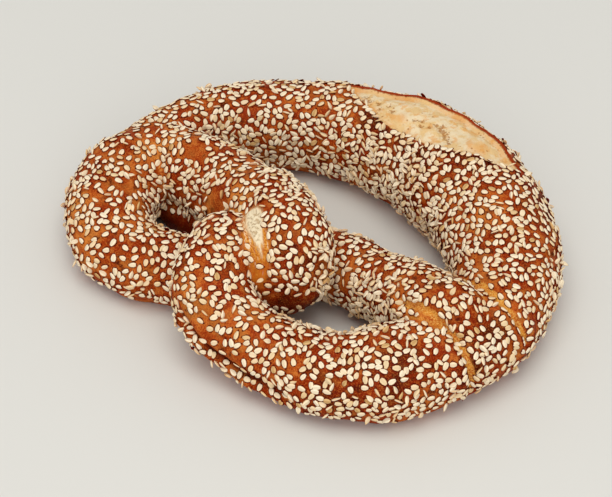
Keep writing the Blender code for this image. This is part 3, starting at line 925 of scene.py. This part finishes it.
def seedPattern():
    # a flat drop, its length along X, with a low foot painted dark, partly glaze that holds it and partly its
    # painted contact shadow
    rings = ((-0.82, 0.62), (-0.4, 0.98), (0.16, 0.92), (0.68, 0.5))
    outline = ((1.0, 0.1, 0), (0.7, 0.8, 0), (0.0, 0.94, 0), (-0.7, 0.8, 0), (-1.0, 0.1, 0), (-1.5, -0.6, 1),
               (0.0, -0.9, 1), (1.5, -0.6, 1))
    sides = len(outline)
    rows, faces = [(-1.06, 0.0, -0.45, 1.0, 1.0)], []
    for along, wide in rings:
        for y, z, foot in outline:
            rows.append((along, wide * y, wide ** 0.7 * z, foot, abs(y)))
    rows.append((1.18, 0.0, -0.45, 1.0, 1.0))
    for k in range(sides):
        after = (k + 1) % sides
        faces.append((0, 1 + after, 1 + k))
        for r in range(len(rings) - 1):
            a, b = 1 + r * sides, 1 + (r + 1) * sides
            faces.append((a + k, a + after, b + after))
            faces.append((a + k, b + after, b + k))
        last = 1 + (len(rings) - 1) * sides
        faces.append((last + k, last + after, len(rows) - 1))
    rows = np.array(rows)
    return rows[:, :3] * 0.5, rows[:, 3], rows[:, 4], np.array(faces)


def scatter(mesh, masks, rng):
    # random places all over the crust, with their normals and what each mask says there
    mesh.calc_loop_triangles()
    count = len(mesh.loop_triangles)
    corners = np.empty(count * 3, np.int32)
    areas = np.empty(count, np.float32)
    mesh.loop_triangles.foreach_get("vertices", corners)
    mesh.loop_triangles.foreach_get("area", areas)
    corners = corners.reshape(-1, 3)
    chances = areas.astype(float) / areas.sum(dtype=float)
    picked = corners[rng.choice(count, seedPlan["tries"], p=chances)]
    weights = rng.dirichlet((1, 1, 1), len(picked))
    points, normals = readPoints(mesh) / mm, readPoints(mesh, "normal")
    place = (points[picked] * weights[:, :, None]).sum(1)
    normal = (normals[picked] * weights[:, :, None]).sum(1)
    normal /= np.linalg.norm(normal, axis=1)[:, None]
    return place, normal, {name: (values[picked] * weights).sum(1) for name, values in masks.items()}


def crowding(place, normal, at):
    # how crowded seeds are: 1 on the rims of the openings
    crowd = at["roll"] * seedPlan["rollCrowd"]
    for x, y, halfX, halfY, amount in seedPlan["holes"]:
        way = (x, y) - place[:, :2]
        reach = np.hypot(way[:, 0] / halfX, way[:, 1] / halfY)
        way /= np.linalg.norm(way, axis=1)[:, None] + 1e-6
        facing = ease((way * normal[:, :2]).sum(1), *seedPlan["holeFacing"])
        crowd = np.maximum(crowd, amount * facing * ease(reach, *seedPlan["holeReach"]))
    rim = ease(at["inside"], *seedPlan["cutCrowdReach"]) * (at["far"] < 0.5)
    crowd = np.maximum(crowd, rim * seedPlan["cutCrowd"])
    crowd *= 0.5 + 0.5 * ease(waves(place, *seedPlan["crowdWave"]), *seedPlan["crowdRise"])
    cluster = ease(waves(place, *seedPlan["clusterWave"]), *seedPlan["clusterRise"])
    crowd = np.maximum(crowd, seedPlan["clusterCrowd"] * cluster)
    side = seedPlan["sideCrowd"] * ease(normal[:, 2], *seedPlan["sideFacing"])
    return np.maximum(crowd, side * ease(place[:, 0], *seedPlan["sideFrom"]))


def pickSpots(mesh, masks, rng):
    # the places where seeds may lie, with their normals and how thin and how crowded the seeds are there
    place, normal, at = scatter(mesh, masks, rng)
    low, swing = seedPlan["lowest"]
    keep = place[:, 2] > low + swing * waves(place, *seedPlan["lowestWave"])
    keep &= normal[:, 2] > seedPlan["downLimit"]
    nearGap, farGap = seedPlan["cutGap"]
    keep &= at["inside"] < np.where(at["far"] > 0.5, farGap, nearGap)
    for amount in (
        ease(at["bald"], *seedPlan["bald"]),
        at["head"],
        at["crack"] * seedPlan["crackDrop"],
        ease(at["crease"], *seedPlan["crease"]),
        ease(at["fold"], *seedPlan["fold"]),
        at["above"] * seedPlan["aboveDrop"],
        ease(normal[:, 2], *seedPlan["down"]) * seedPlan["downDrop"],
    ):
        keep &= rng.random(len(place)) > amount
    thin = manyWaves(place, seedPlan["thinWaves"], seedPlan["thin"])
    for x, y, z, reach, amount in seedPlan["thinner"]:
        thin += amount * np.exp(-((place - (x, y, z)) ** 2).sum(1) / reach ** 2)
    thin = np.maximum(thin, seedPlan["thinLeast"])
    crowd = crowding(place, normal, at)
    return place[keep], normal[keep], thin[keep] * (1 - crowd[keep]), crowd[keep]


def layOut(place, normal, thin, crowd, rng):
    # keeps the places that leave each seed its room, with its direction and how near the next one is
    helper = np.where(np.abs(normal[:, :1]) > 0.8, (0.0, 1.0, 0.0), (1.0, 0.0, 0.0))
    first = np.cross(normal, helper)
    first /= np.linalg.norm(first, axis=1)[:, None]
    second = np.cross(normal, first)
    turn = rng.uniform(0, 2 * math.pi, len(place))
    along = first * np.cos(turn)[:, None] + second * np.sin(turn)[:, None]
    need = seedPlan["spacing"] * rng.uniform(*seedPlan["spread"], len(place))
    need = need * (1 + seedPlan["thinStretch"] * thin) * (1 - seedPlan["crowdSqueeze"] * crowd)
    beads = place[:, None] + along[:, None] * np.array(seedPlan["beads"])[None, :, None]
    keys = np.floor(place / seedPlan["cell"]).astype(int)
    table, chosen, closeness = {}, [], []
    around = [(i, j, k) for i in (-1, 0, 1) for j in (-1, 0, 1) for k in (-1, 0, 1)]
    for n in range(len(place)):
        x, y, z = keys[n]
        others = [m for i, j, k in around for m in table.get((x + i, y + j, z + k), ())]
        nearest = seedPlan["alone"]
        if others:
            gap = beads[others].reshape(-1, 1, 3) - beads[n][None]
            nearest = math.sqrt((gap ** 2).sum(2).min())
            if nearest < need[n]:
                continue
        table.setdefault((x, y, z), []).append(n)
        chosen.append(n)
        closeness.append(nearest)
    chosen = np.array(chosen)
    return place[chosen], normal[chosen], along[chosen], np.array(closeness), crowd[chosen]


def makeSeeds(loaf, masks):
    rng = np.random.default_rng(seedPlan["seed"])
    place, normal, along, closeness, crowd = layOut(*pickSpots(loaf.data, masks, rng), rng)
    count = len(place)
    tight = ease(closeness, *seedPlan["tight"])
    tilt = seedPlan["tightLean"]
    lean = rng.normal(0, seedPlan["unevenLean"], count) + tight * rng.choice((-tilt, tilt), count)
    plain, more = seedPlan["standing"]
    stand = rng.random(count) < plain + more * crowd
    lean[stand] = rng.uniform(*seedPlan["standLean"], stand.sum())
    plain, more = seedPlan["onEdge"]
    onEdge = rng.random(count) < plain + more * crowd
    roll = rng.normal(0, seedPlan["unevenRoll"], count)
    roll = roll + np.where(onEdge, rng.uniform(*seedPlan["edgeRoll"], count), 0)
    lying = (np.abs(lean) + np.abs(roll) < seedPlan["lyingLimit"]).astype(float)
    cross = np.cross(normal, along)
    long = along * np.cos(lean)[:, None] + normal * np.sin(lean)[:, None]
    up = np.cross(long, cross)
    wide = cross * np.cos(roll)[:, None] + up * np.sin(roll)[:, None]
    flat = np.cross(long, wide)
    size = np.stack([rng.uniform(*seedPlan[key], count) for key in ("length", "width", "thickness")], 1)
    tall = (size[:, 0] * np.sin(lean)) ** 2 + (size[:, 1] * np.sin(roll)) ** 2 + size[:, 2] ** 2
    rise = 0.5 * np.sqrt(tall) - seedPlan["sink"] + seedPlan["tightLift"] * tight
    centre = place + normal * rise[:, None]
    rows, foot, rim, faces = seedPattern()
    footless = rows * np.where(foot[:, None] > 0, seedPlan["plainFoot"], (1.0, 1.0, 1.0))
    start = 0
    order = rng.permutation(count)
    for name, kind in seedPlan["kinds"].items():
        stop = min(count, start + int(round(kind["share"] * count)) + 1)
        mine = order[start:stop]
        start = stop
        axes = np.stack([long[mine], wide[mine], flat[mine]], 1) * size[mine][:, :, None]
        shape = np.where(lying[mine][:, None, None] > 0, rows[None], footless[None])
        points = centre[mine][:, None] + np.einsum("npk,nkc->npc", shape, axes)
        mesh = bpy.data.meshes.new(name)
        allFaces = (faces[None] + (np.arange(len(mine)) * len(rows))[:, None, None]).reshape(-1, 3)
        mesh.from_pydata((points.reshape(-1, 3) * mm).tolist(), [], allFaces.tolist())
        mesh.shade_smooth()
        writeMask(mesh, "seedTone", np.repeat(rng.random(len(mine)), len(rows)))
        writeMask(mesh, "seedRim", np.tile(rim, len(mine)))
        writeMask(mesh, "seedFoot", (foot[None] * lying[mine][:, None]).ravel())
        writeMask(mesh, "seedAlong", np.tile(rows[:, 0] + 0.5, len(mine)))
        piece = addObject(name, mesh)
        piece.data.materials.append(seedPaint(name + "Skin", kind))
        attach(piece, "root")
        print(name, len(mine), "seeds", len(allFaces), "triangles")


def seedPaint(name, kind):
    paint, rough = Paint(name), seedPlan["rough"]
    fine = paint.cloud(*seedPlan["fine"])
    tone, rim, foot, along = paint.masks("seedTone", "seedRim", "seedFoot", "seedAlong")
    colour = paint.lay(kind["body"], kind["rim"], rim + 0.3 * (fine - 0.5), seedPlan["rimTone"])
    # painted warm bounce light on the shaded sides of the seeds
    colour = paint.lay(colour, seedPlan["edge"], rim, seedPlan["sideBounceTone"])
    colour = paint.lay(colour, kind["tip"], along + 0.3 * tone, seedPlan["tipTone"])
    colour = paint.lay(colour, kind["tip"], tone + 0.4 * fine, seedPlan["unevenTone"])
    # the foot painted dark: glaze and painted contact shadow
    colour = paint.lay(colour, seedPlan["under"], foot, seedPlan["footShadowAndGlazeTone"])
    return paint.finish({
        "Base Color": colour,
        "Roughness": rough["plain"] + rough["fine"] * fine + rough["foot"] * foot,
        "IOR": seedPlan["ior"],
        "Specular IOR Level": seedPlan["specular"],
        "Normal": paint.bump(fine, seedPlan["bump"]),
    })


studio = {
    "floor": tint(220, 220, 217),
    "floorRoughness": 0.55,
    "floorSize": 6.0,
    "floorDrop": 0.0001,
    "sky": (0.985, 0.975, 0.945, 1.0),
    "skyStrength": 0.6,
    "lamps": {
        "key": {"place": (0.2, -0.3, 1.7), "size": 1.5, "power": 13.5},
        "fill": {"place": (0.9, -0.9, 0.5), "size": 0.9, "power": 4.5},
    },
    "lampAim": (0.0, 0.0, 0.0),
    "lampColour": (1.0, 0.968, 0.905),
}


def addStudio():
    scene = bpy.context.scene
    scene.view_settings.view_transform = "Standard"
    half = studio["floorSize"] / 2
    mesh = bpy.data.meshes.new("floor")
    corners = [(-half, -half, 0), (half, -half, 0), (half, half, 0), (-half, half, 0)]
    mesh.from_pydata(corners, [], [(0, 1, 2, 3)])
    floor = addObject("floor", mesh)
    floor.location.z = -studio["floorDrop"]
    paint = Paint("paleTable")
    floor.data.materials.append(paint.finish({
        "Base Color": studio["floor"], "Roughness": studio["floorRoughness"]}))
    world = bpy.data.worlds.new("studio")
    world.use_nodes = True
    sky = world.node_tree.nodes["Background"]
    sky.inputs["Color"].default_value = studio["sky"]
    sky.inputs["Strength"].default_value = studio["skyStrength"]
    scene.world = world
    for name, lamp in studio["lamps"].items():
        light = bpy.data.lights.new(name, "AREA")
        light.shape = "DISK"
        light.size = lamp["size"]
        light.energy = lamp["power"]
        light.color = studio["lampColour"]
        aimFrom(addObject(name, light), lamp["place"], studio["lampAim"])


addCamera(cameraPlan)
print("camera placed")
path = ropePath()
print("rope", len(path), "points")
loaf, masks = makeBread(path)
loaf.data.materials.clear()
loaf.data.materials.append(crustPaint())
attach(loaf, "root")
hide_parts("pretzel")
print("bread", len(loaf.data.vertices), "points")
makeSeeds(loaf, masks)
addStudio()
print("floor and lamps placed")
